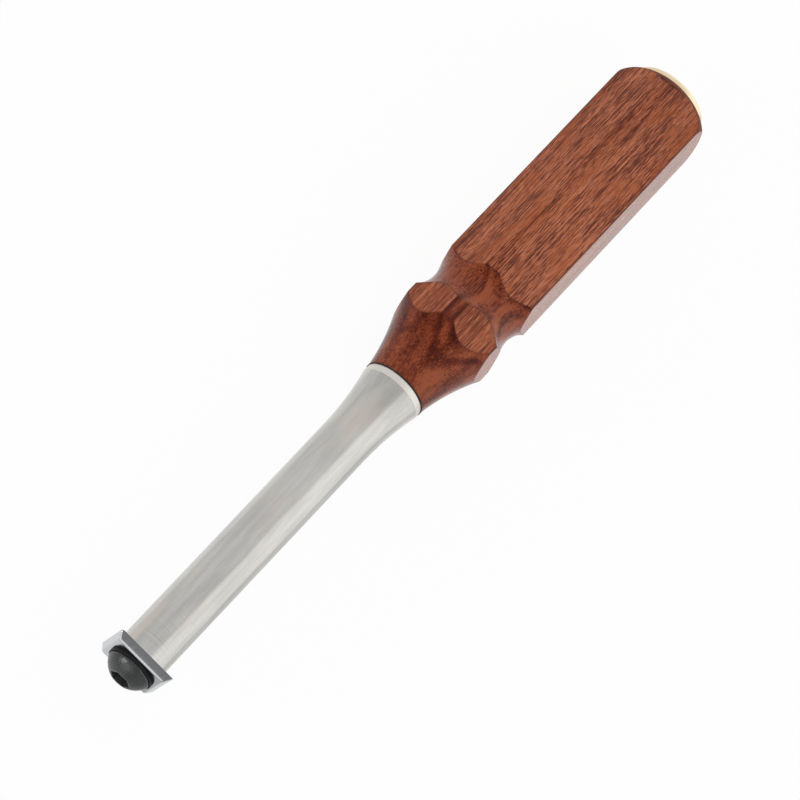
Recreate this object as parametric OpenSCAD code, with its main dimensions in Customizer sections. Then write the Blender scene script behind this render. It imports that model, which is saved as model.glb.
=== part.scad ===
// Pull scraper with a square carbide insert, a turned steel shank and a hexagonal wooden handle.
// The tool lies on one flat of its handle, with its axis along X and its cutting end towards -X.

/* [Carbide insert] */
// Width of the square insert across its cutting edges
insert_w = 20; // [18:0.5:24]
// Height of the relieved flank behind each cutting edge
insert_flank_h = 2.1; // [1.5:0.1:3]
// Relief angle of the flanks
insert_relief = 31; // [20:1:40]
// Width of the small bevel around the front face
insert_bevel = 0.5; // [0.3:0.1:0.8]
// Turn of the insert about the tool's axis, away from the handle's top flat
insert_turn = 13.9; // [0:0.1:90]

/* [Clamp screw and washer] */
// Thread diameter of the clamp screw
screw_d = 8; // [6:0.5:9]
// Length of the screw under its head
screw_len = 20; // [14:1:24]
// Diameter of the button head
head_d = 14.4; // [12.5:0.1:14.8]
// Height of the button head
head_h = 4.1; // [3.6:0.1:4.8]
// Height of the upright rim at the foot of the head
head_rim_h = 0.6; // [0.3:0.1:1]
// Diameter of the flat crown around the socket
crown_d = 7.5; // [6.8:0.1:8]
// Width across the flats of the hexagon socket
socket_af = 5.2; // [4:0.1:5.3]
// Depth of the hexagon socket
socket_depth = 2.6; // [1.8:0.1:3]
// Turn of the socket about the tool's axis
socket_turn = 11.1; // [0:0.1:60]
// Outer diameter of the washer
washer_d = 15.4; // [15:0.1:16.4]
// Thickness of the washer
washer_t = 1; // [0.8:0.1:1.6]

/* [Shank] */
// Diameter of the straight shank
shank_d = 15.9; // [15:0.1:17]
// Length of the straight shank, from the insert's seat to the flare
shank_len = 91.7; // [70:0.1:130]
// Length of the flare
flare_len = 21; // [14:0.1:28]
// Diameter of the land at the handle
land_d = 20.3; // [18.5:0.1:21.5]
// Length of the land
land_len = 2.3; // [1.5:0.1:4]
// Diameter of the spigot inside the handle
spigot_d = 12; // [11:0.1:13]
// Length of the spigot inside the handle
spigot_len = 18; // [14:0.5:24]

/* [Spacer] */
// Diameter of the black spacer between shank and handle
spacer_d = 20.8; // [18.5:0.1:22]
// Thickness of the spacer
spacer_t = 0.3; // [0.2:0.1:1]

/* [Handle] */
// Width of the hexagon across its flats
handle_af = 30.8; // [29:0.1:34]
// Diameter that the six corners are eased to
eased_d = 35.3; // [33:0.1:39]
// Overall length of the wood
handle_len = 130.7; // [110:0.1:170]
// Diameter of the wood where it meets the spacer
neck_d = 20.6; // [19:0.1:24]
// Length of the hollowed neck
neck_len = 23.4; // [18:0.1:30]
// Depth of the neck's hollow, measured from its chord
neck_bow = 1; // [0.3:0.1:2]
// Length of the full hexagon between neck and waist
bulb_len = 3.7; // [3:0.1:9]
// Diameter of the waist at its narrowest
waist_d = 28.8; // [27:0.1:30]
// Radius of the round groove that makes the waist
waist_groove = 12.5; // [9:0.1:18]
// Width of the narrow flat planed along one upper corner
thumb_flat_w = 4.4; // [2:0.1:7]
// Radius of the rounded butt
butt_round = 9; // [7:0.1:12]

/* [End cap and draw rod] */
// Diameter of the brass cap
cap_d = 25.3; // [20:0.1:27]
// Thickness of the cap at its edge
cap_edge_t = 1.8; // [1:0.1:2.5]
// Rise of the cap's crown above its edge
cap_crown = 0.5; // [0.3:0.1:1.5]
// Diameter of the cap's threaded spigot
cap_spigot_d = 14; // [12:0.1:16]
// Length of the cap's threaded spigot
cap_spigot_len = 14; // [11:0.5:20]
// Width of the cap's driver slot
slot_w = 2; // [1.2:0.1:3]
// Depth of the cap's driver slot
slot_depth = 1.1; // [0.6:0.1:1.5]
// Turn of the driver slot about the tool's axis
slot_turn = 71; // [0:1:180]
// Diameter of the draw rod
rod_d = 8; // [6:0.5:9]
// Length of rod screwed into the shank and into the cap
rod_grip = 11; // [8:0.5:13]

/* [Hidden] */
$fn = 96;
arc_steps = 12;

// Clearances and small edges
thread_clear = 0.1;
hole_clear = 0.4;
spigot_clear = 0.2;
bore_clear = 0.6;
end_gap = 1.5;
small_edge = 0.5;
land_step = 0.15;
seat_edge = 0.6;
wood_lip = 0.1;
socket_flare = 0.4;
cut_over = 1;

// Radii
insert_half = insert_w / 2;
head_r = head_d / 2;
crown_r = crown_d / 2;
shank_r = shank_d / 2;
land_r = land_d / 2;
spigot_r = spigot_d / 2;
eased_r = eased_d / 2;
neck_r = neck_d / 2;
waist_r = waist_d / 2;
cap_r = cap_d / 2;
corner_r = handle_af / sqrt(3);
butt_end_r = cap_r + wood_lip;

// Stations along the axis, from the insert's seat, with the cutting end negative
insert_inset = insert_flank_h * tan(insert_relief);
insert_t = insert_flank_h + insert_bevel;
washer_z = -insert_t - washer_t;
head_top_z = washer_z - head_h;
flare_z = shank_len;
land_z = flare_z + flare_len;
collar_z = land_z + land_len;
spigot_end_z = collar_z + spigot_len;
wood_z = collar_z + spacer_t;
butt_z = wood_z + handle_len;
cap_front_z = butt_z - cap_spigot_len;
cap_top_z = butt_z + cap_edge_t + cap_crown;
screw_hole_len = screw_len + washer_z + end_gap;

// The round groove of the waist, from its depth and radius
waist_depth = eased_r - waist_r;
waist_sweep = acos(1 - waist_depth / waist_groove);
waist_half = waist_groove * sin(waist_sweep);
waist_z = neck_len + bulb_len + waist_half;

// The rounded butt, tangent to the eased corners
butt_drop = eased_r - butt_end_r;
butt_sweep = acos(1 - butt_drop / butt_round);
butt_len = butt_round * sin(butt_sweep);

// The tool's axis lies half a hexagon above the ground, with the middle of its length at X = 0
axis_height = handle_af / 2;
middle_z = (head_top_z + cap_top_z) / 2;

// The narrow flat lies on the corner 30 degrees from the top flat
thumb_turn = 150;
thumb_reach = corner_r - thumb_flat_w / 2 * tan(30);

// Points from p to q along an arc that stands off the chord by bow, towards smaller radius
function bowed(p, q, bow) =
    let (d = q - p, len = norm(d), arc_r = (len * len / 4 + bow * bow) / (2 * bow))
    let (along = d / len, side = [-along[1], along[0]] * (along[1] > 0 ? 1 : -1))
    let (sweep = asin(len / 2 / arc_r), mid = (p + q) / 2)
    [for (i = [0:arc_steps])
        let (t = sweep * (2 * i / arc_steps - 1))
        mid + along * arc_r * sin(t) + side * (arc_r * cos(t) - arc_r + bow)];

// Flare profile: an arc tangent to the straight shank
function flare_points() =
    let (rise = land_r - land_step - shank_r, arc_r = (flare_len * flare_len + rise * rise) / (2 * rise))
    let (sweep = asin(flare_len / arc_r))
    [for (i = [0:arc_steps])
        let (t = sweep * i / arc_steps)
        [shank_r + arc_r * (1 - cos(t)), flare_z + arc_r * sin(t)]];

// Waist profile: the round groove from one eased corner to the other
function waist_points() =
    [for (i = [0:arc_steps])
        let (t = waist_sweep * (2 * i / arc_steps - 1))
        [waist_r + waist_groove * (1 - cos(t)), waist_z + waist_groove * sin(t)]];

// Butt profile: a convex quarter that ends at the cap
function butt_points() =
    [for (i = [0:arc_steps])
        let (t = butt_sweep * i / arc_steps)
        [eased_r - butt_round * (1 - cos(t)), handle_len - butt_len + butt_round * sin(t)]];

// Crown profile of the cap: a shallow dome from its edge to the axis
function crown_points(r, z) =
    let (arc_r = (r * r + cap_crown * cap_crown) / (2 * cap_crown), sweep = asin(r / arc_r))
    [for (i = [0:arc_steps])
        let (t = sweep * (1 - i / arc_steps))
        [arc_r * sin(t), z + cap_crown - arc_r * (1 - cos(t))]];

// Places what is built along Z, from the seat, into the tool's own frame
module along_tool() {
    translate([-middle_z, 0, axis_height]) rotate([0, 90, 0]) children();
}

// A drilled hole that starts at z and runs deep along +Z
module drilled(d, z, deep) {
    translate([0, 0, z]) cylinder(d = d, h = deep);
}

// A round bar with bevelled ends
module bevelled_bar(d, z, len) {
    rotate_extrude() polygon([
        [0, z], [d / 2 - small_edge, z], [d / 2, z + small_edge],
        [d / 2, z + len - small_edge], [d / 2 - small_edge, z + len], [0, z + len]]);
}

// Side view of the insert: cutting edge at the seat, relieved flank, small bevel, front face
module insert_side() {
    flank = insert_half - insert_inset;
    face = flank - insert_bevel;
    polygon([
        [-insert_half, 0], [insert_half, 0], [flank, -insert_flank_h], [face, -insert_t],
        [-face, -insert_t], [-flank, -insert_flank_h]]);
}

module insert_slab() {
    translate([0, insert_half, 0]) rotate([90, 0, 0]) linear_extrude(insert_w) insert_side();
}

module carbide_insert() {
    color("gray") along_tool() rotate([0, 0, -insert_turn]) difference() {
        intersection() {
            insert_slab();
            rotate([0, 0, 90]) insert_slab();
        }
        drilled(screw_d + hole_clear, -insert_t - cut_over, insert_t + 2 * cut_over);
    }
}

module clamp_washer() {
    color("black") along_tool() difference() {
        drilled(washer_d, washer_z, washer_t);
        drilled(screw_d + hole_clear, washer_z - cut_over, washer_t + 2 * cut_over);
    }
}

module button_head() {
    centre_h = ((head_h ^ 2 - head_rim_h ^ 2) - (head_r ^ 2 - crown_r ^ 2)) / (2 * (head_h - head_rim_h));
    dome_r = norm([head_r, head_rim_h - centre_h]);
    intersection() {
        drilled(head_d, head_top_z, head_h);
        translate([0, 0, washer_z - centre_h]) sphere(dome_r);
    }
}

module hexagon_socket() {
    across_corners = socket_af * 2 / sqrt(3);
    translate([0, 0, head_top_z - cut_over]) rotate([0, 0, socket_turn])
        cylinder(d = across_corners, h = socket_depth + cut_over, $fn = 6);
    translate([0, 0, head_top_z])
        cylinder(d1 = across_corners + socket_flare, d2 = socket_af, h = small_edge);
}

module clamp_screw() {
    color("dimgray") along_tool() difference() {
        union() {
            button_head();
            bevelled_bar(screw_d, washer_z - small_edge, screw_len + small_edge);
        }
        hexagon_socket();
    }
}

module shank() {
    color("silver") along_tool() difference() {
        rotate_extrude() polygon(concat(
            [[0, 0], [shank_r - seat_edge, 0], [shank_r, seat_edge]],
            flare_points(),
            [[land_r, land_z], [land_r, collar_z], [spigot_r, collar_z],
             [spigot_r, spigot_end_z - small_edge], [spigot_r - small_edge, spigot_end_z],
             [0, spigot_end_z]]));
        drilled(screw_d + thread_clear, -cut_over, screw_hole_len + cut_over);
        drilled(rod_d + thread_clear, spigot_end_z - rod_grip - end_gap, rod_grip + end_gap + cut_over);
    }
}

module collar_spacer() {
    color("black") along_tool() difference() {
        drilled(spacer_d, collar_z, spacer_t);
        drilled(spigot_d + spigot_clear, collar_z - cut_over, spacer_t + 2 * cut_over);
    }
}

// The whole turned outline of the wood, from its front face to its butt
module turned_form() {
    rotate_extrude() polygon(concat(
        [[0, 0]],
        bowed([neck_r, 0], [eased_r, neck_len], neck_bow),
        waist_points(),
        butt_points(),
        [[0, handle_len]]));
}

module thumb_flat() {
    rotate([0, 0, thumb_turn]) translate([thumb_reach, -corner_r, -cut_over])
        cube([corner_r, 2 * corner_r, handle_len + 2 * cut_over]);
}

module handle() {
    spigot_room = spigot_end_z + end_gap - wood_z;
    cap_room = handle_len - cap_spigot_len - end_gap;
    color("sienna") along_tool() translate([0, 0, wood_z]) difference() {
        intersection() {
            turned_form();
            rotate([0, 0, 30]) cylinder(r = corner_r, h = handle_len, $fn = 6);
        }
        thumb_flat();
        drilled(spigot_d + spigot_clear, -cut_over, spigot_room + cut_over);
        drilled(rod_d + bore_clear, 0, handle_len);
        drilled(cap_spigot_d + spigot_clear, cap_room, handle_len - cap_room + cut_over);
    }
}

module draw_rod() {
    rod_z = spigot_end_z - rod_grip;
    color("darkgray") along_tool() bevelled_bar(rod_d, rod_z, cap_front_z + rod_grip - rod_z);
}

module end_cap() {
    edge_z = butt_z + cap_edge_t;
    color("gold") along_tool() difference() {
        rotate_extrude() polygon(concat(
            [[0, cap_front_z], [cap_spigot_d / 2, cap_front_z], [cap_spigot_d / 2, butt_z],
             [cap_r, butt_z], [cap_r, edge_z - small_edge]],
            crown_points(cap_r - small_edge, edge_z)));
        drilled(rod_d + thread_clear, cap_front_z - cut_over, rod_grip + end_gap + cut_over);
        rotate([0, 0, slot_turn]) translate([-cap_r, -slot_w / 2, cap_top_z - slot_depth])
            cube([cap_d, slot_w, slot_depth + cut_over]);
    }
}

carbide_insert();
clamp_washer();
clamp_screw();
shank();
collar_spacer();
handle();
draw_rod();
end_cap();
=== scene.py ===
# Looks of the carbide scraper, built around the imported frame. Lengths in the dictionaries are in millimetres.
import math

import bmesh
import bpy
import numpy as np
from mathutils import Matrix, Vector


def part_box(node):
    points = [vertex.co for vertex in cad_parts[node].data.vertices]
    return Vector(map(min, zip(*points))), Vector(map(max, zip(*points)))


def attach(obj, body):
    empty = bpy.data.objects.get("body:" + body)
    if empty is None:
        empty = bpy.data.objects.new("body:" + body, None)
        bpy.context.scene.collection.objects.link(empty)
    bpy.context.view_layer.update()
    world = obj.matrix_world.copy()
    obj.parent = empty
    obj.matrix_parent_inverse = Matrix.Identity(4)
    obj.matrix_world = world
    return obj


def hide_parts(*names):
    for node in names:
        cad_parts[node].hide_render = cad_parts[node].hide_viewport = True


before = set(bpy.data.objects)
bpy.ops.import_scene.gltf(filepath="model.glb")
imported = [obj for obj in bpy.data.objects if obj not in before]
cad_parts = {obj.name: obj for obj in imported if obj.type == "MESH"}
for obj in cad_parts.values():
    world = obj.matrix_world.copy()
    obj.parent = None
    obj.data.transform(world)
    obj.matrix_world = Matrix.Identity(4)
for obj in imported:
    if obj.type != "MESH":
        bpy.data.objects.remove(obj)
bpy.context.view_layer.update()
mm = 0.001
poleR = 0.02             # a turned outline ends this far from the axis, and a pole closes it
noiseSpan = (0.3, 0.7)   # nearly all of a noise lies between these
noiseMiddle = 0.5
evenly = (0.5, 0.5)      # weights of two values that count alike

# places read from the frame: the tool's axis runs along X at axisHeight,
# and stations count from the insert's seat
handleLow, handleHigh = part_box("handle")
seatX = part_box("shank")[0].x
axisHeight = (handleLow.z + handleHigh.z) / 2


def station(x):
    return (x - seatX) / mm


def span(node):
    low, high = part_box(node)
    return station(low.x), station(high.x)


def width(node):
    low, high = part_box(node)
    return (high.y - low.y) / mm


insertSpan, washerSpan, screwSpan = span("carbide_insert"), span("clamp_washer"), span("clamp_screw")
shankSpan, spacerSpan = span("shank"), span("collar_spacer")
woodSpan, capSpan = span("handle"), span("end_cap")
print("frame: wood from %.1f to %.1f mm, axis %.1f mm up" % (*woodSpan, axisHeight / mm))


# shaping
def softened(corners, reach, closed=True, steps=5, mostOfSide=0.45, closest=1e-6):
    # Each corner C becomes a short curve (1-t)^2 A + 2t(1-t) C + t^2 B, with A and B at the given reach
    # along its sides. An outline that isn't closed keeps its two ends.
    corners = np.asarray(corners, float)
    toBefore, toAfter = np.roll(corners, 1, 0) - corners, np.roll(corners, -1, 0) - corners
    reach = np.broadcast_to(np.asarray(reach, float), len(corners)).copy()
    if not closed:
        reach[[0, -1]] = 0
    lenBefore = np.maximum(np.linalg.norm(toBefore, axis=1), closest)
    lenAfter = np.maximum(np.linalg.norm(toAfter, axis=1), closest)
    a = corners + toBefore * (np.minimum(reach, lenBefore * mostOfSide) / lenBefore)[:, None]
    b = corners + toAfter * (np.minimum(reach, lenAfter * mostOfSide) / lenAfter)[:, None]
    t = np.linspace(0, 1, steps)[None, :, None]
    curve = (1 - t) ** 2 * a[:, None] + 2 * t * (1 - t) * corners[:, None] + t ** 2 * b[:, None]
    points = curve.reshape(-1, corners.shape[1])
    keep = np.linalg.norm(points - np.roll(points, 1, 0), axis=1) > closest
    if not closed:
        keep[0] = True
    return points[keep]


def roundAxis(x, r, angles):
    # A point at station x, radius r and angle a from the top towards +Y: (x, r sin a, axis height + r cos a).
    x, r, angles = np.broadcast_arrays(x, r, angles)
    return np.stack([seatX + x * mm, r * np.sin(angles) * mm, axisHeight + r * np.cos(angles) * mm], -1)


def skin(name, grid, loop, sharp=32):
    # Joins a rows by columns grid of points into quads, closed round every row. A loop also joins the
    # last row to the first, and otherwise each end closes on a pole in the middle of its row.
    rows, columns = grid.shape[:2]
    r = np.arange(rows if loop else rows - 1)[:, None]
    c = np.arange(columns)[None, :]
    nextR, nextC = (r + 1) % rows * columns, (c + 1) % columns
    quads = np.stack([r * columns + c, nextR + c, nextR + nextC, r * columns + nextC], -1).reshape(-1, 4)
    points, faces = grid.reshape(-1, 3), quads.tolist()
    if not loop:
        poles = np.stack([grid[0].mean(0), grid[-1].mean(0)])
        ring, nextRing, last = np.arange(columns), (np.arange(columns) + 1) % columns, (rows - 1) * columns
        first = np.full(columns, len(points))
        faces += np.stack([first, ring, nextRing], -1).tolist()
        faces += np.stack([last + ring, first + 1, last + nextRing], -1).tolist()
        points = np.vstack([points, poles])
    return meshPiece(name, points, faces, sharp)


def lathed(name, outline, columns, loop=False):
    # An outline of stations and radii, carried once round the axis.
    return skin(name, roundAxis(outline[:, :1], outline[:, 1:], evenAngles(columns)[None, :]), loop)


def meshPiece(name, points, faces, sharp):
    mesh = bpy.data.meshes.new(name)
    mesh.from_pydata(points.tolist(), [], faces)
    mesh.validate()
    mesh.polygons.foreach_set("use_smooth", np.ones(len(mesh.polygons), bool))
    mesh.set_sharp_from_angle(angle=math.radians(sharp))
    piece = bpy.data.objects.new(name, mesh)
    bpy.context.scene.collection.objects.link(piece)
    return piece


def weld(piece, sharp, tolerance=1e-7):
    bm = bmesh.new()
    bm.from_mesh(piece.data)
    bmesh.ops.remove_doubles(bm, verts=bm.verts, dist=tolerance)
    bmesh.ops.dissolve_degenerate(bm, edges=bm.edges, dist=tolerance)
    bmesh.ops.recalc_face_normals(bm, faces=bm.faces)
    bm.to_mesh(piece.data)
    bm.free()
    piece.data.set_sharp_from_angle(angle=math.radians(sharp))


def pointValue(piece, name, values):
    # one number for each vertex, for the material to read
    layer = piece.data.attributes.new(name, "FLOAT", "POINT")
    full = np.zeros(len(piece.data.vertices), np.float32)
    full[:values.size] = values.ravel()
    layer.data.foreach_set("value", full)


def settle(piece, body, node, material):
    piece.data.materials.append(material)
    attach(piece, body)
    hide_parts(node)
    print("%s: %d vertices" % (piece.name, len(piece.data.vertices)))


def evenAngles(count):
    return np.arange(count) * 2 * math.pi / count


def fromNearestFlat(a):
    # angle from the nearest of a hexagon's six flats, the first of which faces a = 0
    return (a + math.pi / 6) % (math.pi / 3) - math.pi / 6


# materials
def srgb(r, g, b):
    c = np.array([r, g, b]) / 255
    return (*np.where(c < 0.04045, c / 12.92, ((c + 0.055) / 1.055) ** 2.4).tolist(), 1.0)


class Nodes:
    # A node tree with short calls: a socket given as an input is linked, and anything else is set.
    def __init__(self, tree):
        self.tree = tree
        tree.nodes.clear()

    def add(self, kind, inputs=(), **settings):
        node = self.tree.nodes.new(kind)
        for key, value in settings.items():
            setattr(node, key, value)
        for key, value in dict(inputs).items():
            if isinstance(value, bpy.types.NodeSocket):
                self.tree.links.new(value, node.inputs[key])
            else:
                node.inputs[key].default_value = value
        return node

    def math(self, operation, a, b=0.0):
        return self.add("ShaderNodeMath", {0: a, 1: b}, operation=operation).outputs[0]

    def times(self, a, b):
        return self.math("MULTIPLY", a, b)

    def weighed(self, values, weights):
        # the sum of each value times its weight
        total = 0.0
        for value, weight in zip(values, weights):
            inputs = {0: value, 1: weight, 2: total}
            total = self.add("ShaderNodeMath", inputs, operation="MULTIPLY_ADD").outputs[0]
        return total

    def between(self, value, low, high, toLow=0.0, toHigh=1.0, smooth=True):
        kind = "SMOOTHSTEP" if smooth else "LINEAR"
        inputs = {"Value": value, "From Min": low, "From Max": high, "To Min": toLow, "To Max": toHigh}
        return self.add("ShaderNodeMapRange", inputs, interpolation_type=kind).outputs["Result"]

    def slide(self, share, start, end):
        # from start to end as share goes from 0 to 1
        return self.between(share, 0.0, 1.0, start, end, smooth=False)

    def mix(self, share, a, b):
        return self.add("ShaderNodeMix", {"Factor": share, 6: a, 7: b}, data_type="RGBA").outputs[2]

    def ramp(self, value, stops, colours):
        node = self.add("ShaderNodeValToRGB", {"Fac": value})
        marks = node.color_ramp.elements
        while len(marks) < len(stops):
            marks.new(0.5)
        for mark, stop, colour in zip(marks, stops, colours):
            mark.position, mark.color = stop, colour
        return node.outputs["Color"]

    def place(self, scale=(1, 1, 1), turn=(0, 0, 0), move=(0, 0, 0)):
        # object coordinates in millimetres along the axis, then turned and scaled
        coord = self.add("ShaderNodeTexCoord").outputs["Object"]
        centred = self.add("ShaderNodeMapping", {
            "Vector": coord, "Location": (-seatX / mm, 0, -axisHeight / mm),
            "Scale": (1 / mm,) * 3}).outputs[0]
        return self.add("ShaderNodeMapping", {
            "Vector": centred, "Location": move, "Rotation": [math.radians(a) for a in turn],
            "Scale": scale}).outputs[0]

    def parts(self, vector):
        return self.add("ShaderNodeSeparateXYZ", {0: vector}).outputs

    def length(self, vector):
        return self.add("ShaderNodeVectorMath", {0: vector}, operation="LENGTH").outputs["Value"]

    def attribute(self, name):
        return self.add("ShaderNodeAttribute", attribute_name=name).outputs["Fac"]

    def noise(self, vector, scale=1.0, detail=3.0, rough=0.5):
        inputs = {"Vector": vector, "Scale": scale, "Detail": detail, "Roughness": rough}
        return self.add("ShaderNodeTexNoise", inputs).outputs["Fac"]

    def bands(self, along, scale, detail):
        # noise over one distance alone
        inputs = {"W": along, "Scale": scale, "Detail": detail, "Roughness": 0.5}
        return self.add("ShaderNodeTexNoise", inputs, noise_dimensions="1D").outputs["Fac"]

    def bump(self, height, strength, depth=0.1):
        inputs = {"Height": height, "Strength": strength, "Distance": depth * mm}
        return self.add("ShaderNodeBump", inputs).outputs[0]

    def surface(self, **inputs):
        inputs = {key.replace("_", " "): value for key, value in inputs.items()}
        shader = self.add("ShaderNodeBsdfPrincipled", inputs)
        self.add("ShaderNodeOutputMaterial", {"Surface": shader.outputs[0]})


def newMaterial(name):
    material = bpy.data.materials.new(name)
    material.use_nodes = True
    return material, Nodes(material.node_tree)


grain = dict(
    # the flats and then the turned faces, each from dark to light
    dark=(0.105, 0.019, 0.008, 1), brown=(0.215, 0.046, 0.017, 1), warm=(0.318, 0.078, 0.031, 1),
    light=(0.55, 0.176, 0.084, 1), stops=(0.445, 0.478, 0.513, 0.552),
    deepDark=(0.050, 0.007, 0.003, 1), deep=(0.130, 0.017, 0.005, 1), deepLight=(0.35, 0.083, 0.032, 1),
    deepStops=(0.43, 0.485, 0.57),
    orange=(0.43, 0.102, 0.026, 1), orangeFrom=(0.48, 0.64), orangeMost=0.45,
    pore=(0.060, 0.012, 0.005, 1), poreFrom=(0.37, 0.27), poreMost=0.7, poreDepth=0.6,
    # the edge colour is painted shade along the creases where the flats meet the turned faces
    fleckFrom=(0.42, 0.30), fleckMost=0.75, edge=(0.060, 0.015, 0.008, 1), creaseShadeMost=0.65,
    slant=(0, 1.5, 2.0),                       # lean of the fibres from the tool's axis
    pith=(0, -4, 70), pithTurn=(0, 1.6, -1),   # step to the middle of the growth rings, far below the handle
    ringScale=0.34, ringStart=3.0, wander=5.0, levelFrom=(0.45, 0.95),
    # how fine each noise is, along the tool and across it, and how the noises are weighed
    cloud=(0.03, 0.10, 0.10), fibre=(0.36, 5.8, 5.8), lines=(0.04, 3.4, 3.4), pores=(0.30, 4.2, 4.2),
    smudge=(0.07, 0.16, 0.16), patches=(0.018, 0.24, 0.24), flecks=(0.05, 0.60, 0.60),
    streakOf=(0.48, 0.52), slowOf=(0.35, 0.65), toneOf=(0.78, 0.22), turnedOf=(0.36, 0.32, 0.32),
    bulbCalm=0.42, bulbTone=0.508, planedMost=0.15,
    waistReach=(7.5, 4.5), waistLift=0.028, waistLines=0.16,
    turning=1.8, marksFrom=(0.48, 0.64), marksMost=0.22,
    roughness=(0.15, 0.25), ior=1.22, bump=0.3, bumpDepth=0.2, coat=0.30, coatIor=1.3,
    endRough=0.4, endMost=0.35)


def woodMaterial():
    m, n = newMaterial("oiledHardwood")
    g = grain

    def figure(name, detail, rough=0.5):
        return n.noise(n.place(scale=g[name], turn=g["slant"]), detail=detail, rough=rough)

    # growth rings: bands of noise over the distance from a leaning pith line
    fromPith = n.length(n.place(scale=(0, 1, 1), turn=g["pithTurn"], move=g["pith"]))
    wander = n.math("ADD", n.times(figure("cloud", detail=0.0), g["wander"]), g["ringStart"])
    rings = n.bands(n.math("ADD", fromPith, wander), g["ringScale"], detail=1.5)
    fibre = figure("fibre", detail=1.0)
    lines = figure("lines", detail=2.0, rough=0.6)
    pores = figure("pores", detail=1.0)
    smudge = figure("smudge", detail=3.0, rough=0.6)
    patches = figure("patches", detail=3.0, rough=0.6)
    flecks = figure("flecks", detail=2.0, rough=0.55)
    turned, edge, planed = n.attribute("turnedShare"), n.attribute("creaseShadeShare"), n.attribute("planedShare")
    bulb, up, end = n.attribute("bulbShare"), n.attribute("upShare"), n.attribute("endShare")
    # the flats: fine streaks over slow bands and patches, calmer on the bulb
    streak = n.weighed((fibre, lines), g["streakOf"])
    slow = n.weighed((rings, patches), g["slowOf"])
    tone = n.weighed((streak, slow), g["toneOf"])
    tone = n.slide(n.times(bulb, g["bulbCalm"]), tone, g["bulbTone"])
    colour = n.ramp(tone, g["stops"], (g["dark"], g["brown"], g["warm"], g["light"]))
    colour = n.mix(n.between(smudge, *g["orangeFrom"], 0.0, g["orangeMost"]), colour, g["orange"])
    colour = n.mix(n.between(flecks, *g["fleckFrom"], 0.0, g["fleckMost"]), colour, g["dark"])
    # growth layers lie almost level, so they show as wide bands on top and fade on the steep sides
    levelRings = n.between(up, *g["levelFrom"], noiseMiddle, rings)
    turnedTone = n.weighed((streak, levelRings, smudge), g["turnedOf"])
    # the waist is a little paler and shows its lines more
    alongAxis = n.parts(n.place())["X"]
    fromWaist = n.math("ABSOLUTE", n.math("SUBTRACT", alongAxis, waistStation()))
    waist = n.times(turned, n.between(fromWaist, *g["waistReach"]))
    waistFigure = n.times(n.math("SUBTRACT", lines, noiseMiddle), g["waistLines"])
    waistTone = n.math("ADD", waistFigure, g["waistLift"])
    turnedTone = n.math("ADD", turnedTone, n.times(waist, waistTone))
    deep = n.ramp(turnedTone, g["deepStops"], (g["deepDark"], g["deep"], g["deepLight"]))
    colour = n.mix(turned, colour, deep)
    # the lathe's marks in the waist: noise over the station alone
    marks = n.between(n.bands(alongAxis, g["turning"], detail=2.0), *g["marksFrom"], 0.0, g["marksMost"])
    colour = n.mix(n.times(marks, waist), colour, g["warm"])
    colour = n.mix(n.times(planed, g["planedMost"]), colour, g["deep"])
    poreShare = n.between(pores, *g["poreFrom"])
    colour = n.mix(n.times(poreShare, g["poreMost"]), colour, g["pore"])
    # painted shade along the creases between the flats and the turned faces
    colour = n.mix(n.times(edge, g["creaseShadeMost"]), colour, g["edge"])
    # the butt shows end grain, which is duller and darker
    colour = n.mix(n.times(end, g["endMost"]), colour, g["deepDark"])
    rough = n.between(streak, *noiseSpan, *g["roughness"], smooth=False)
    rough = n.math("ADD", rough, n.times(end, g["endRough"]))
    coat = n.times(n.math("SUBTRACT", 1.0, end), g["coat"])
    height = n.math("SUBTRACT", streak, n.times(poreShare, g["poreDepth"]))
    n.surface(Base_Color=colour, Roughness=rough, IOR=g["ior"],
              Normal=n.bump(height, g["bump"], g["bumpDepth"]),
              Coat_Weight=coat, Coat_IOR=g["coatIor"], Coat_Roughness=g["roughness"][0])
    return m


steel = dict(
    bright=srgb(206, 204, 200), dull=srgb(188, 187, 183), land=srgb(224, 220, 213),
    # warm and the patches after it: a painted warm reflection on the steel
    warm=srgb(212, 202, 191), reflectionPatches=(0.035, 0.16, 0.16), reflectionFrom=(0.50, 0.70), reflectionMost=0.5,
    lines=(1.8, 0.02, 0.02), smears=(0.05, 0.45, 0.45), grit=2.6,
    roughness=(0.15, 0.24), landRoughness=0.5, landFrom=(-0.08, 0.02),
    bump=0.14, tipBump=0.75, tipStations=(34, 8), landBump=0.35)


def steelMaterial():
    m, n = newMaterial("turnedSteel")
    lines = n.noise(n.place(scale=steel["lines"]), detail=2.0)
    smears = n.noise(n.place(scale=steel["smears"]), detail=4.0, rough=0.6)
    grit = n.noise(n.place(), scale=steel["grit"], detail=3.0)
    warmReflection = n.noise(n.place(scale=steel["reflectionPatches"]), detail=2.0)
    alongAxis = n.parts(n.place())["X"]
    fromLand = n.math("SUBTRACT", alongAxis, shankShape["straight"] + shankShape["flare"])
    onLand = n.between(fromLand, *steel["landFrom"])
    colour = n.mix(n.between(smears, *noiseSpan), steel["dull"], steel["bright"])
    # warm patches over the steel: painted reflection
    colour = n.mix(n.between(warmReflection, *steel["reflectionFrom"], 0.0, steel["reflectionMost"]), colour, steel["warm"])
    colour = n.mix(onLand, colour, steel["land"])
    rough = n.between(n.weighed((lines, smears), evenly), *noiseSpan, *steel["roughness"])
    rough = n.math("ADD", rough, n.times(onLand, steel["landRoughness"] - steel["roughness"][1]))
    # the lathe's rings are plainest by the insert
    ringBump = n.between(alongAxis, *steel["tipStations"], steel["bump"], steel["tipBump"])
    height = n.math("ADD", n.times(lines, ringBump), n.times(n.times(grit, onLand), steel["landBump"]))
    n.surface(Base_Color=colour, Metallic=1.0, Roughness=rough, Normal=n.bump(height, 1.0))
    return m


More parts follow.
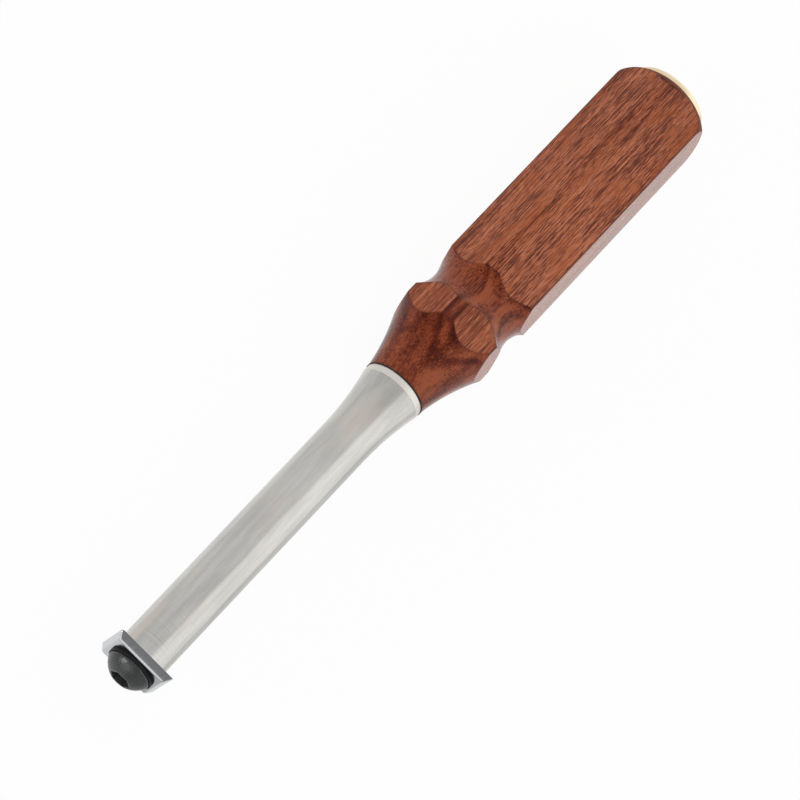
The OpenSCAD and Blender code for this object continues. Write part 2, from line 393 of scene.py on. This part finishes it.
carbide = dict(pale=srgb(196, 197, 198), grey=srgb(184, 186, 188), roughness=(0.08, 0.16),
               grinding=(0.4, 6.0, 0.4), bump=0.03)


def carbideMaterial():
    m, n = newMaterial("groundCarbide")
    marks = n.noise(n.place(scale=carbide["grinding"], turn=(insertShape["turn"], 0, 0)), detail=3.0)
    colour = n.mix(marks, carbide["grey"], carbide["pale"])
    rough = n.between(marks, *noiseSpan, *carbide["roughness"])
    n.surface(Base_Color=colour, Metallic=1.0, Roughness=rough, Normal=n.bump(marks, carbide["bump"]))
    return m


blackened = dict(dark=srgb(12, 14, 16), worn=srgb(38, 41, 45), wornFrom=(0.42, 0.68), roughness=(0.17, 0.34),
                 mottle=2.0, ior=1.72, bump=0.8,
                 # socket is the colour of the painted shade inside the socket
                 socket=srgb(6, 6, 7), socketRough=0.4, socketFrom=(0.12, 0.45), socketRim=0.2)


def blackMaterial():
    m, n = newMaterial("blackOxide")
    mottle = n.noise(n.place(), scale=blackened["mottle"], detail=5.0, rough=0.65)
    colour = n.mix(n.between(mottle, *blackened["wornFrom"]), blackened["dark"], blackened["worn"])
    rough = n.between(mottle, *noiseSpan, *blackened["roughness"])
    # painted shade inside the socket: darker and duller below the crown and nearer the axis than its rim
    crown = screwShape["crownR"]
    depth = n.math("SUBTRACT", n.parts(n.place())["X"], screwSpan[0])
    fromAxis = n.length(n.place(scale=(0, 1, 1)))
    socketShade = n.times(n.between(depth, *blackened["socketFrom"]),
                     n.between(fromAxis, crown, crown - blackened["socketRim"]))
    colour = n.mix(socketShade, colour, blackened["socket"])
    rough = n.math("ADD", rough, n.times(socketShade, blackened["socketRough"]))
    n.surface(Base_Color=colour, Roughness=rough, IOR=blackened["ior"],
              Normal=n.bump(mottle, blackened["bump"]))
    return m


washerFinish = dict(dark=srgb(10, 10, 10), worn=srgb(22, 22, 22), roughness=(0.5, 0.65), grit=2.2, gloss=0.3,
                    bump=0.1)


def washerMaterial():
    m, n = newMaterial("blackWasher")
    grit = n.noise(n.place(), scale=washerFinish["grit"], detail=4.0)
    colour = n.mix(grit, washerFinish["dark"], washerFinish["worn"])
    rough = n.between(grit, *noiseSpan, *washerFinish["roughness"])
    n.surface(Base_Color=colour, Roughness=rough, Specular_IOR_Level=washerFinish["gloss"],
              Normal=n.bump(grit, washerFinish["bump"]))
    return m


fibreDisc = dict(dark=srgb(16, 15, 15), worn=srgb(36, 33, 31), grit=(1.5, 4.0, 4.0), roughness=(0.6, 0.8),
                 bump=0.15)


def fibreMaterial():
    m, n = newMaterial("blackFibre")
    grit = n.noise(n.place(scale=fibreDisc["grit"]), detail=4.0)
    colour = n.mix(grit, fibreDisc["dark"], fibreDisc["worn"])
    rough = n.between(grit, *noiseSpan, *fibreDisc["roughness"])
    n.surface(Base_Color=colour, Roughness=rough, Normal=n.bump(grit, fibreDisc["bump"]))
    return m


brassFinish = dict(pale=srgb(248, 229, 197), deep=srgb(238, 213, 174), roughness=(0.22, 0.36), facing=1.6,
                   smears=0.25, bump=0.04,
                   tarnish=srgb(150, 112, 62), tarnishMost=0.8, tarnishEdge=0.05)


def brassMaterial():
    m, n = newMaterial("turnedBrass")
    # facing marks: rings of noise over the distance from the axis
    rings = n.bands(n.length(n.place(scale=(0, 1, 1))), brassFinish["facing"], detail=4.0)
    smears = n.noise(n.place(), scale=brassFinish["smears"], detail=4.0)
    rough = n.between(n.weighed((rings, smears), evenly), *noiseSpan, *brassFinish["roughness"])
    colour = n.mix(smears, brassFinish["deep"], brassFinish["pale"])
    # tarnish in the slot: closer to the slot's middle line than half its width
    across = n.math("ABSOLUTE", n.parts(n.place(turn=(-capShape["slotTurn"], 0, 0)))["Y"])
    half, edge = capShape["slotW"] / 2, brassFinish["tarnishEdge"]
    inSlot = n.between(across, half + edge, half - edge, 0.0, brassFinish["tarnishMost"])
    colour = n.mix(inSlot, colour, brassFinish["tarnish"])
    n.surface(Base_Color=colour, Metallic=1.0, Roughness=rough, Normal=n.bump(rings, brassFinish["bump"]))
    return m


# insert
insertShape = dict(flankHeight=2.1, relief=31, bevel=0.5, turn=13.9, holeR=4.2, holeEdge=0.3, squareness=90,
                   edgeReach=0.05, columns=192, cornerPull=1.6)


def buildInsert():
    # Square rings of half width h, or round ones at the hole, at stations along the axis. A ring's reach at
    # angle a is h / (|cos a|^p + |sin a|^p)^(1/p), a square with its corners barely rounded.
    s = insertShape
    turn = math.radians(s["turn"])
    half = width("carbide_insert") / 2 / (math.cos(turn) + math.sin(turn))
    flankX, frontX, seat = -s["flankHeight"], insertSpan[0], insertSpan[1]
    flank = half - s["flankHeight"] * math.tan(math.radians(s["relief"]))
    face = flank - s["bevel"]
    hole, rim = s["holeR"], s["holeR"] + s["holeEdge"]
    # station, reach, squareness from 0 for round to 1 for square
    outline = softened([
        (frontX + s["holeEdge"], hole, 0), (frontX, rim, 0), (frontX, face, 1), (flankX, flank, 1),
        (seat, half, 1), (seat, rim, 0), (seat - s["holeEdge"], hole, 0)], s["edgeReach"])
    # columns crowd towards the corners
    octant = np.linspace(0, 1, s["columns"] // 8, endpoint=False)
    bend = 45 * (1 - (1 - octant) ** s["cornerPull"])
    quarter = np.concatenate([bend, 90 - np.append(bend[1:], 45)[::-1]])
    a = np.radians(np.concatenate([quarter + k for k in range(0, 360, 90)]))
    p = s["squareness"]
    square = (np.abs(np.cos(a)) ** p + np.abs(np.sin(a)) ** p) ** (-1 / p)
    x, r, q = (outline[:, k, None] for k in range(3))
    reach = r * (1 + q * (square[None, :] - 1))
    return skin("insertPlate", roundAxis(x, reach, a[None, :] + turn), True, sharp=20)


# washer and spacer
ringShape = dict(washerBore=8.4, washerEdge=0.22, spacerBore=12.2, spacerEdge=0.08, columns=144)


def buildRing(name, ends, outer, bore, edge):
    # A ring with a rectangular outline, its corners softened by edge.
    corners = [(ends[0], bore), (ends[0], outer), (ends[1], outer), (ends[1], bore)]
    return lathed(name, softened(corners, edge), ringShape["columns"], loop=True)


# screw
screwShape = dict(rim=0.6, crownR=3.75, socketAf=5.2, socketTurn=18.9, socketDepth=2.6, socketEdge=0.1,
                  socketLean=0.42, socketFoot=0.9, drillPoint=0.7,
                  threadR=4.0, threadDepth=0.62, pitch=1.25, flankSteep=1.35, crestFlat=0.2,
                  plainNeck=0.3, firstRing=0.4, runOut=0.8, endBevel=0.7,
                  domeRows=24, perPitch=10, columns=144, edgeReach=0.14)


def buildScrew():
    # One outline from the bottom of the socket over the dome and down the thread to its end. Rings are round
    # or, in the socket, hexagonal: af/2 / cos(angle from the nearest flat). The thread lowers the radius by
    # its depth times a flattened triangle wave of (station / pitch + angle / full turn).
    s = screwShape
    top, end = screwSpan
    seat = washerSpan[0]
    headR = width("clamp_screw") / 2
    headH = seat - top
    centre = ((headH ** 2 - s["rim"] ** 2) - (headR ** 2 - s["crownR"] ** 2)) / (2 * (headH - s["rim"]))
    domeR = math.hypot(headR, s["rim"] - centre)
    liftEnds = (math.acos((height - centre) / domeR) for height in (headH, s["rim"]))
    lift = np.linspace(*liftEnds, s["domeRows"])
    dome = np.stack([seat - centre - domeR * np.cos(lift), domeR * np.sin(lift), np.zeros_like(lift)], 1)
    # station, radius, share of the hexagon
    socketR, floor = s["socketAf"] / 2, top + s["socketDepth"]
    socket = softened([
        (floor + s["drillPoint"], poleR, 0), (floor, socketR * s["socketFoot"], 1), (floor, socketR, 1),
        (top, socketR + s["socketLean"], 1), (top, s["crownR"], 0)], s["socketEdge"], closed=False)[:-1]
    under = softened([
        dome[-1], (seat, headR, 0), (seat, s["threadR"], 0), (seat + s["plainNeck"], s["threadR"], 0)],
        s["edgeReach"], closed=False)[1:]
    threadX = np.arange(seat + s["firstRing"], end - s["endBevel"], s["pitch"] / s["perPitch"])
    thread = np.stack([threadX, np.full_like(threadX, s["threadR"]), np.zeros_like(threadX)], 1)
    foot = np.array([
        (end - s["endBevel"], s["threadR"], 0), (end, s["threadR"] - s["endBevel"], 0), (end, poleR, 0)])
    outline = np.vstack([socket, dome, under, thread, foot])
    turn = math.radians(s["socketTurn"])
    a = evenAngles(s["columns"])[None, :] + turn
    x, r, q = (outline[:, k, None] for k in range(3))
    hexagon = 1 / np.cos(fromNearestFlat(a - turn))
    reach = r * (1 + q * (hexagon - 1))
    wave = np.abs(((x / s["pitch"] + a / (2 * math.pi)) % 1) * 2 - 1)
    groove = s["threadDepth"] * np.clip(wave * s["flankSteep"] - s["crestFlat"], 0, 1)
    cut = np.clip((x - seat - s["runOut"]) / s["runOut"], 0, 1)
    inThread = (x > seat + (s["plainNeck"] + s["firstRing"]) / 2) & (r > s["threadR"] / 2)
    reach = np.where(inThread, np.minimum(reach, s["threadR"] - groove * cut), reach)
    return skin("clampScrew", roundAxis(x, reach, a), False, sharp=35)


# shank
shankShape = dict(r=7.95, straight=91.7, flare=21.0, landR=10.15, land=2.3, landStep=0.05, spigotR=6.0,
                  spigotBevel=0.5, seatEdge=0.6, holeR=4.05, holeDepth=17.9, holeBevel=0.4,
                  rodR=4.05, rodDepth=12.5, drillPoint=1.0, edgeReach=0.12, flareRows=40, columns=160)


def buildShank():
    # One turned outline, from the bottom of the screw's hole to the bottom of the rod's hole. The flare is an
    # arc that leaves the straight tangentially: r + R(1 - cos t), straight + R sin t.
    s = shankShape
    rise = s["landR"] - s["landStep"] - s["r"]
    arcR = (s["flare"] ** 2 + rise ** 2) / (2 * rise)
    t = np.linspace(0, math.asin(s["flare"] / arcR), s["flareRows"])
    flare = np.stack([s["straight"] + arcR * np.sin(t), s["r"] + arcR * (1 - np.cos(t))], 1)
    landX = s["straight"] + s["flare"]
    collar, end = landX + s["land"], shankSpan[1]
    rodEnd = end - s["rodDepth"]
    front = softened([
        (s["holeDepth"] + s["drillPoint"], poleR), (s["holeDepth"], s["holeR"]), (s["holeBevel"], s["holeR"]),
        (0, s["holeR"] + s["holeBevel"]), (0, s["r"] - s["seatEdge"]), (s["seatEdge"], s["r"]),
        (s["straight"] / 2, s["r"])], s["edgeReach"], closed=False)
    back = softened([
        flare[-1], (landX, s["landR"]), (collar, s["landR"]), (collar, s["spigotR"]),
        (end - s["spigotBevel"], s["spigotR"]), (end, s["spigotR"] - s["spigotBevel"]), (end, s["rodR"]),
        (rodEnd, s["rodR"]), (rodEnd - s["drillPoint"], poleR)], s["edgeReach"], closed=False)[1:]
    return lathed("shankBar", np.vstack([front, flare, back]), s["columns"])


# handle
woodShape = dict(
    neckLen=23.4, neckBow=1.0, neckR=10.3, bulbLen=3.7, waistR=14.4, groove=12.5, buttRound=9.0, buttLip=0.1,
    thumbReach=16.51, thumbTurn=30, thumbLimit=0.5,   # the limit: cosine of the widest angle from its middle
    ease=0.14, frontDrop=0.25,
    spigotBore=6.1, spigotRoom=19.0, rodBore=4.3, capBore=7.1, capRoom=15.5,
    # rows along the wood, close together over the bulb and the waist, and columns in half a flat
    frontRows=(0.0, 0.06, 0.16, 0.3), neckFrom=0.6, neckRows=54, closeBefore=3.7, closeTo=47, waistRows=96,
    rowGap=0.3, gripGap=2, gripClear=11, gripRows=22, buttReach=10.4, buttPull=1.4, buttRows=34,
    halfFlat=30, cornerPull=1.5, arcRows=200,
    # how far the kinds of face fade into each other, for the material
    planedFade=0.2, turnedFade=0.08, bulbPast=6, bulbFade=2, endFade=3)


def easedMin(a, b, ease):
    # the smaller of a and b, with the crease between them rounded over ease,
    # and also how near the crease is, from 0 to 1
    near = np.clip(1 - np.abs(a - b) / ease, 0, 1)
    return np.minimum(a, b) - near ** 2 * ease / 4, near


def waistMiddle():
    # from the front of the wood to the waist's narrowest place, and half of the groove's chord
    s = woodShape
    depth = width("handle") / 2 - s["waistR"]
    half = s["groove"] * math.sin(math.acos(1 - depth / s["groove"]))
    return s["neckLen"] + s["bulbLen"] + half, half


def waistStation():
    return woodSpan[0] + waistMiddle()[0]


def turnedRadius(x, length, easedR):
    # lathe outline of the wood: hollow neck arc, straight, round groove of the waist, straight, rounded butt
    s = woodShape
    chord, rise = math.hypot(s["neckLen"], easedR - s["neckR"]), easedR - s["neckR"]
    arcR = (chord ** 2 / 4 + s["neckBow"] ** 2) / (2 * s["neckBow"])
    t = np.linspace(-1, 1, s["arcRows"]) * math.asin(chord / 2 / arcR)
    along = np.array([s["neckLen"], rise]) / chord
    side = np.array([along[1], -along[0]])
    middle = np.array([s["neckLen"] / 2, (s["neckR"] + easedR) / 2])
    bow = arcR * np.cos(t) - arcR + s["neckBow"]
    arc = middle + along * (arcR * np.sin(t))[:, None] + side * bow[:, None]
    r = np.interp(x, arc[:, 0], arc[:, 1], right=easedR)
    waistX, half = waistMiddle()
    off = x - waistX
    waist = s["waistR"] + s["groove"] - np.sqrt(np.maximum(s["groove"] ** 2 - off ** 2, 0))
    r = np.where(np.abs(off) < half, np.minimum(r, waist), r)
    buttEndR = width("end_cap") / 2 + s["buttLip"]
    sweep = math.acos(1 - (easedR - buttEndR) / s["buttRound"])
    into = np.clip(x - (length - s["buttRound"] * math.sin(sweep)), 0, None)
    butt = easedR - s["buttRound"] + np.sqrt(np.maximum(s["buttRound"] ** 2 - into ** 2, 0))
    return np.minimum(r, butt)


def woodRows(length):
    s = woodShape
    closeFrom = s["neckLen"] - s["closeBefore"]
    return np.concatenate([
        np.array(s["frontRows"]),
        np.linspace(s["neckFrom"], closeFrom - s["rowGap"], s["neckRows"]),
        np.linspace(closeFrom, s["closeTo"], s["waistRows"]),
        np.linspace(s["closeTo"] + s["gripGap"], length - s["gripClear"], s["gripRows"]),
        length - s["buttReach"] * np.linspace(1, 0, s["buttRows"]) ** s["buttPull"]])


def buildHandle():
    # Radius at station x and angle a: the smallest of the lathe outline, the hexagon af/2 / cos(angle from
    # the nearest flat) and the narrow flat planed on one corner, with the creases between them
    # slightly eased.
    s = woodShape
    length = woodSpan[1] - woodSpan[0]
    easedR = width("handle") / 2
    flatR = axisHeight / mm
    x = woodRows(length)
    # columns crowd towards the hexagon's corners
    bend = 30 * (np.arange(s["halfFlat"]) / s["halfFlat"]) ** s["cornerPull"]
    sector = np.concatenate([bend, 60 - np.append(bend[1:], 30)[::-1]])
    a = np.radians(np.concatenate([sector + k for k in range(30, 390, 60)]))
    turned = turnedRadius(x, length, easedR)
    turned = turned - s["frontDrop"] * np.clip(1 - x / s["frontRows"][-1], 0, 1) ** 2
    turned = np.broadcast_to(turned[:, None], (len(x), len(a)))
    flats = flatR / np.cos(fromNearestFlat(a))
    offThumb = np.cos(a - math.radians(s["thumbTurn"]))
    limit = s["thumbLimit"]
    thumb = np.where(offThumb > limit, s["thumbReach"] / np.maximum(offThumb, limit), 2 * easedR)
    planed = np.clip((flats - thumb) / s["planedFade"] + 0.5, 0, 1)
    flats, _ = easedMin(flats, thumb, s["ease"])
    flats = np.broadcast_to(flats[None, :], turned.shape)
    reach, near = easedMin(turned, flats, s["ease"])
    bores = np.array([
        (length, s["capBore"]), (length - s["capRoom"], s["capBore"]), (length - s["capRoom"], s["rodBore"]),
        (s["spigotRoom"], s["rodBore"]), (s["spigotRoom"], s["spigotBore"]), (0, s["spigotBore"])])
    allX = np.concatenate([x, bores[:, 0]])[:, None] + woodSpan[0]
    allR = np.vstack([reach, np.repeat(bores[:, 1:], len(a), 1)])
    piece = skin("woodHandle", roundAxis(allX, allR, a[None, :]), True, sharp=50)
    bulb = np.clip((s["neckLen"] + s["bulbLen"] + s["bulbPast"] - x) / s["bulbFade"], 0, 1)[:, None]
    lathe = np.maximum(np.clip((flats - turned) / s["turnedFade"] + 0.5, 0, 1), planed[None, :] * bulb)
    # near tells how close the creases are, where the material paints shade
    shares = dict(
        turnedShare=lathe, bulbShare=bulb, creaseShadeShare=near, upShare=np.abs(np.cos(a))[None, :],
        planedShare=planed[None, :],
        endShare=lathe * np.clip((x[:, None] - length + s["buttRound"]) / s["endFade"], 0, 1))
    for name, values in shares.items():
        pointValue(piece, name, np.broadcast_to(values, turned.shape))
    return piece


# end cap
capShape = dict(bevel=0.5, crown=0.5, slotW=2.0, slotDepth=1.1, slotTurn=71,
                spigotR=7.0, boreR=4.05, boreDepth=12.5,
                drillPoint=1.0, rows=40, slotRows=7, columns=48, edgeReach=0.2, sharp=32)


def buildCap():
    # The face is a grid of straight rows along the slot, w across and s sqrt(R^2 - w^2) along, on a shallow
    # dome and pressed down to the slot's floor inside the slot. The same rim points carry the turned side and
    # the spigot.
    s = capShape
    low, top = capSpan
    butt = woodSpan[1]
    outerR = width("end_cap") / 2
    faceR = outerR - s["bevel"]
    domeR = (faceR ** 2 + s["crown"] ** 2) / (2 * s["crown"])
    floorX = top - s["slotDepth"]
    half = s["slotW"] / 2
    sweep = np.linspace(-math.pi / 2, -math.asin(half / faceR), s["rows"])
    side = faceR * np.sin(sweep)
    across = np.concatenate([side, np.linspace(-half, half, s["slotRows"]), -side[::-1]])[:, None]
    inSlot = np.zeros(len(across), bool)
    inSlot[s["rows"]:s["rows"] + s["slotRows"]] = True
    reach = np.sqrt(np.maximum(faceR ** 2 - across ** 2, 0))
    along = reach * np.sin(np.linspace(-math.pi / 2, math.pi / 2, s["columns"]))[None, :]
    dome = top - (domeR - np.sqrt(domeR ** 2 - across ** 2 - along ** 2))
    faceX = np.where(inSlot[:, None], np.minimum(dome, floorX), dome)
    face = np.stack([faceX, np.broadcast_to(across, along.shape), along], -1)
    rows, columns = along.shape
    r, c = np.arange(rows - 1)[:, None], np.arange(columns - 1)[None, :]
    corner = r * columns + c
    faces = np.stack([corner, corner + columns, corner + columns + 1, corner + 1], -1).reshape(-1, 4)
    rim = np.concatenate([face[:, -1], face[::-1, 0]])
    rimSlot = np.concatenate([inSlot, inSlot[::-1]])[None, :]
    ways = rim[:, 1:] / np.hypot(rim[:, 1], rim[:, 2])[:, None]
    edgeX, boreEnd = top - s["crown"], low + s["boreDepth"]
    outline = softened([
        (edgeX, faceR), (edgeX - s["bevel"], outerR), (butt, outerR), (butt, s["spigotR"]),
        (low, s["spigotR"]), (low, s["boreR"]), (boreEnd, s["boreR"]), (boreEnd + s["drillPoint"], poleR)],
        s["edgeReach"], closed=False)
    turnedX = np.repeat(outline[:, :1], len(rim), 1)
    ringX = np.where(rimSlot, np.minimum(turnedX, floorX), turnedX)
    ringX[0] = rim[:, 0]
    rings = np.concatenate([ringX[..., None], outline[:, 1, None, None] * ways[None]], -1)
    count, around = ringX.shape
    base = rows * columns
    r, c = np.arange(count - 1)[:, None] * around + base, np.arange(around)[None, :]
    nextC = (c + 1) % around
    sides = np.stack([r + c, r + nextC, r + around + nextC, r + around + c], -1).reshape(-1, 4)
    points = np.vstack([face.reshape(-1, 3), rings.reshape(-1, 3)])
    turn = math.radians(s["slotTurn"])
    sideways = points[:, 1] * math.cos(turn) - points[:, 2] * math.sin(turn)
    upward = points[:, 1] * math.sin(turn) + points[:, 2] * math.cos(turn)
    points = np.stack([seatX + points[:, 0] * mm, sideways * mm, axisHeight + upward * mm], 1)
    last = base + (count - 1) * around + np.arange(around)
    piece = meshPiece("brassCap", points, np.vstack([faces, sides]).tolist() + [last.tolist()], s["sharp"])
    weld(piece, s["sharp"])
    return piece


# pieces onto the frame
settle(buildInsert(), "insert", "carbide_insert", carbideMaterial())
settle(buildRing("washerRing", washerSpan, width("clamp_washer") / 2, ringShape["washerBore"] / 2,
                 ringShape["washerEdge"]), "washer", "clamp_washer", washerMaterial())
settle(buildScrew(), "screw", "clamp_screw", blackMaterial())
settle(buildShank(), "tool", "shank", steelMaterial())
settle(buildRing("spacerRing", spacerSpan, width("collar_spacer") / 2, ringShape["spacerBore"] / 2,
                 ringShape["spacerEdge"]), "tool", "collar_spacer", fibreMaterial())
settle(buildHandle(), "tool", "handle", woodMaterial())
settle(buildCap(), "tool", "end_cap", brassMaterial())

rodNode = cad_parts["draw_rod"]
rodNode.data.materials.clear()
rodNode.data.materials.append(bpy.data.materials["turnedSteel"])

# floor, light and camera
stage = dict(
    floorSize=3000, floorGap=0.05, floor=srgb(250, 250, 250), whiteShare=0.95,
    # how white the floor is in reflections, beside the tool and farther off, and the strip that is beside it
    nearGlow=1.0, farGlow=0.82, farSide=(33, 23), nearSide=(-2, -45), nearStations=(100, 118), soften=5,
    # the shade before the insert, deeper away from the lamp
    tipShade=(0.93, 0.74), tipSide=(1, -7), tipEdge=(2, -1))


def buildFloor():
    half = stage["floorSize"] / 2
    corners = np.array([(-half, -half), (half, -half), (half, half), (-half, half)])
    corners = np.column_stack([corners, np.full(4, -stage["floorGap"])]) * mm
    floor = meshPiece("floor", corners, [[0, 1, 2, 3]], sharp=30)
    m, n = newMaterial("paleFloor")
    rays = n.add("ShaderNodeLightPath").outputs
    seen = n.math("MAXIMUM", rays["Is Camera Ray"], rays["Is Glossy Ray"])
    seen = n.math("MAXIMUM", seen, rays["Is Transmission Ray"])
    # in reflections the floor is white beside the tool, greyer farther off and shaded before the insert
    parts = n.parts(n.place())
    nearSide = n.between(parts["X"], *stage["nearStations"], *stage["nearSide"])
    beside = n.times(n.between(parts["Y"], *stage["farSide"]),
                     n.between(n.math("SUBTRACT", parts["Y"], nearSide), -stage["soften"], stage["soften"]))
    before = n.between(parts["X"], *(insertSpan[0] + edge for edge in stage["tipEdge"]))
    shade = n.slide(before, 1.0, n.between(parts["Y"], *stage["tipSide"], *stage["tipShade"]))
    glow = n.times(n.slide(beside, stage["farGlow"], stage["nearGlow"]), shade)
    strength = n.slide(rays["Is Glossy Ray"], 1.0, glow)
    matt = n.add("ShaderNodeBsdfDiffuse", {"Color": stage["floor"]}).outputs[0]
    white = n.add("ShaderNodeEmission", {"Color": (1, 1, 1, 1), "Strength": strength}).outputs[0]
    both = n.add("ShaderNodeMixShader", {0: n.times(seen, stage["whiteShare"]), 1: matt, 2: white}).outputs[0]
    n.add("ShaderNodeOutputMaterial", {"Surface": both})
    floor.data.materials.append(m)


sky = dict(
    middle=0.66, lean=0.46, fall=1.5, least=0.30,   # grey overhead, up to the butt and down to the insert
    sidePanel=0.36, sideEdge=(0.10, 0.30),          # the brighter far side, and where its edge lies
    frontGlow=1.2, frontWay=(-0.86, 0.33, 0.38), frontSpread=(15, 27))


def buildSky():
    # grey that brightens evenly towards the butt, a brighter panel along the far side,
    # and a low glow before the insert
    world = bpy.data.worlds.new("studio")
    world.use_nodes = True
    bpy.context.scene.world = world
    n = Nodes(world.node_tree)
    way = n.add("ShaderNodeTexCoord").outputs["Generated"]
    parts = n.parts(way)
    rise = n.times(n.math("MAXIMUM", parts["X"], 0.0), sky["lean"])
    fall = n.times(n.math("MINIMUM", parts["X"], 0.0), sky["fall"])
    grey = n.math("MAXIMUM", n.math("ADD", n.math("ADD", rise, fall), sky["middle"]), sky["least"])
    panel = n.between(n.times(parts["Y"], -1.0), *sky["sideEdge"], 0.0, sky["sidePanel"])
    facing = n.add("ShaderNodeVectorMath", {0: way, 1: Vector(sky["frontWay"]).normalized()},
                   operation="DOT_PRODUCT").outputs["Value"]
    inner, outer = (math.cos(math.radians(a)) for a in sky["frontSpread"])
    glow = n.between(facing, outer, inner, 0.0, sky["frontGlow"])
    total = n.math("ADD", n.math("ADD", grey, panel), glow)
    light = n.add("ShaderNodeBackground", {"Color": (1, 1, 1, 1), "Strength": total}).outputs[0]
    plain = n.add("ShaderNodeBackground", {"Color": (1, 1, 1, 1), "Strength": 1.0}).outputs[0]
    camera = n.add("ShaderNodeLightPath").outputs["Is Camera Ray"]
    both = n.add("ShaderNodeMixShader", {0: camera, 1: light, 2: plain}).outputs[0]
    n.add("ShaderNodeOutputWorld", {"Surface": both})


frontLamp = dict(at=(-800, 840, 260), size=180, watts=2.0)


def buildLamp():
    data = bpy.data.lights.new("frontLamp", "AREA")
    data.shape = "DISK"
    data.size = frontLamp["size"] * mm
    data.energy = frontLamp["watts"]
    lamp = bpy.data.objects.new("frontLamp", data)
    at = Vector(frontLamp["at"]) * mm
    lamp.matrix_world = Matrix.Translation(at) @ at.to_track_quat("Z", "Y").to_matrix().to_4x4()
    bpy.context.scene.collection.objects.link(lamp)


# the aim is a station along the axis, then a step to the side and one up from the axis
view = dict(aim=(112.84, -2.38, 3.59), distance=1424.5, azimuth=144.32, elevation=59.65, roll=-83.07,
            lens=220.9, sensor=36, clip=(10, 20000))


def buildCamera():
    data = bpy.data.cameras.new("photoCamera")
    data.sensor_width, data.lens = view["sensor"], view["lens"]
    data.clip_start, data.clip_end = (c * mm for c in view["clip"])
    az, el, roll = (math.radians(view[k]) for k in ("azimuth", "elevation", "roll"))
    back = np.array([math.cos(el) * math.cos(az), math.cos(el) * math.sin(az), math.sin(el)])
    level = np.array([-math.sin(az), math.cos(az), 0])
    upright = np.cross(back, level)
    up = math.cos(roll) * upright + math.sin(roll) * level
    right = math.cos(roll) * level - math.sin(roll) * upright
    place = np.array([seatX, 0, axisHeight]) + (np.array(view["aim"]) + back * view["distance"]) * mm
    camera = bpy.data.objects.new("photoCamera", data)
    columns = np.column_stack([right, up, back, place])
    camera.matrix_world = Matrix(np.vstack([columns, [0, 0, 0, 1]]).tolist())
    bpy.context.scene.collection.objects.link(camera)
    bpy.context.scene.camera = camera


buildFloor()
buildSky()
buildLamp()
buildCamera()
bpy.context.scene.view_settings.view_transform = "Standard"
print("stage set")
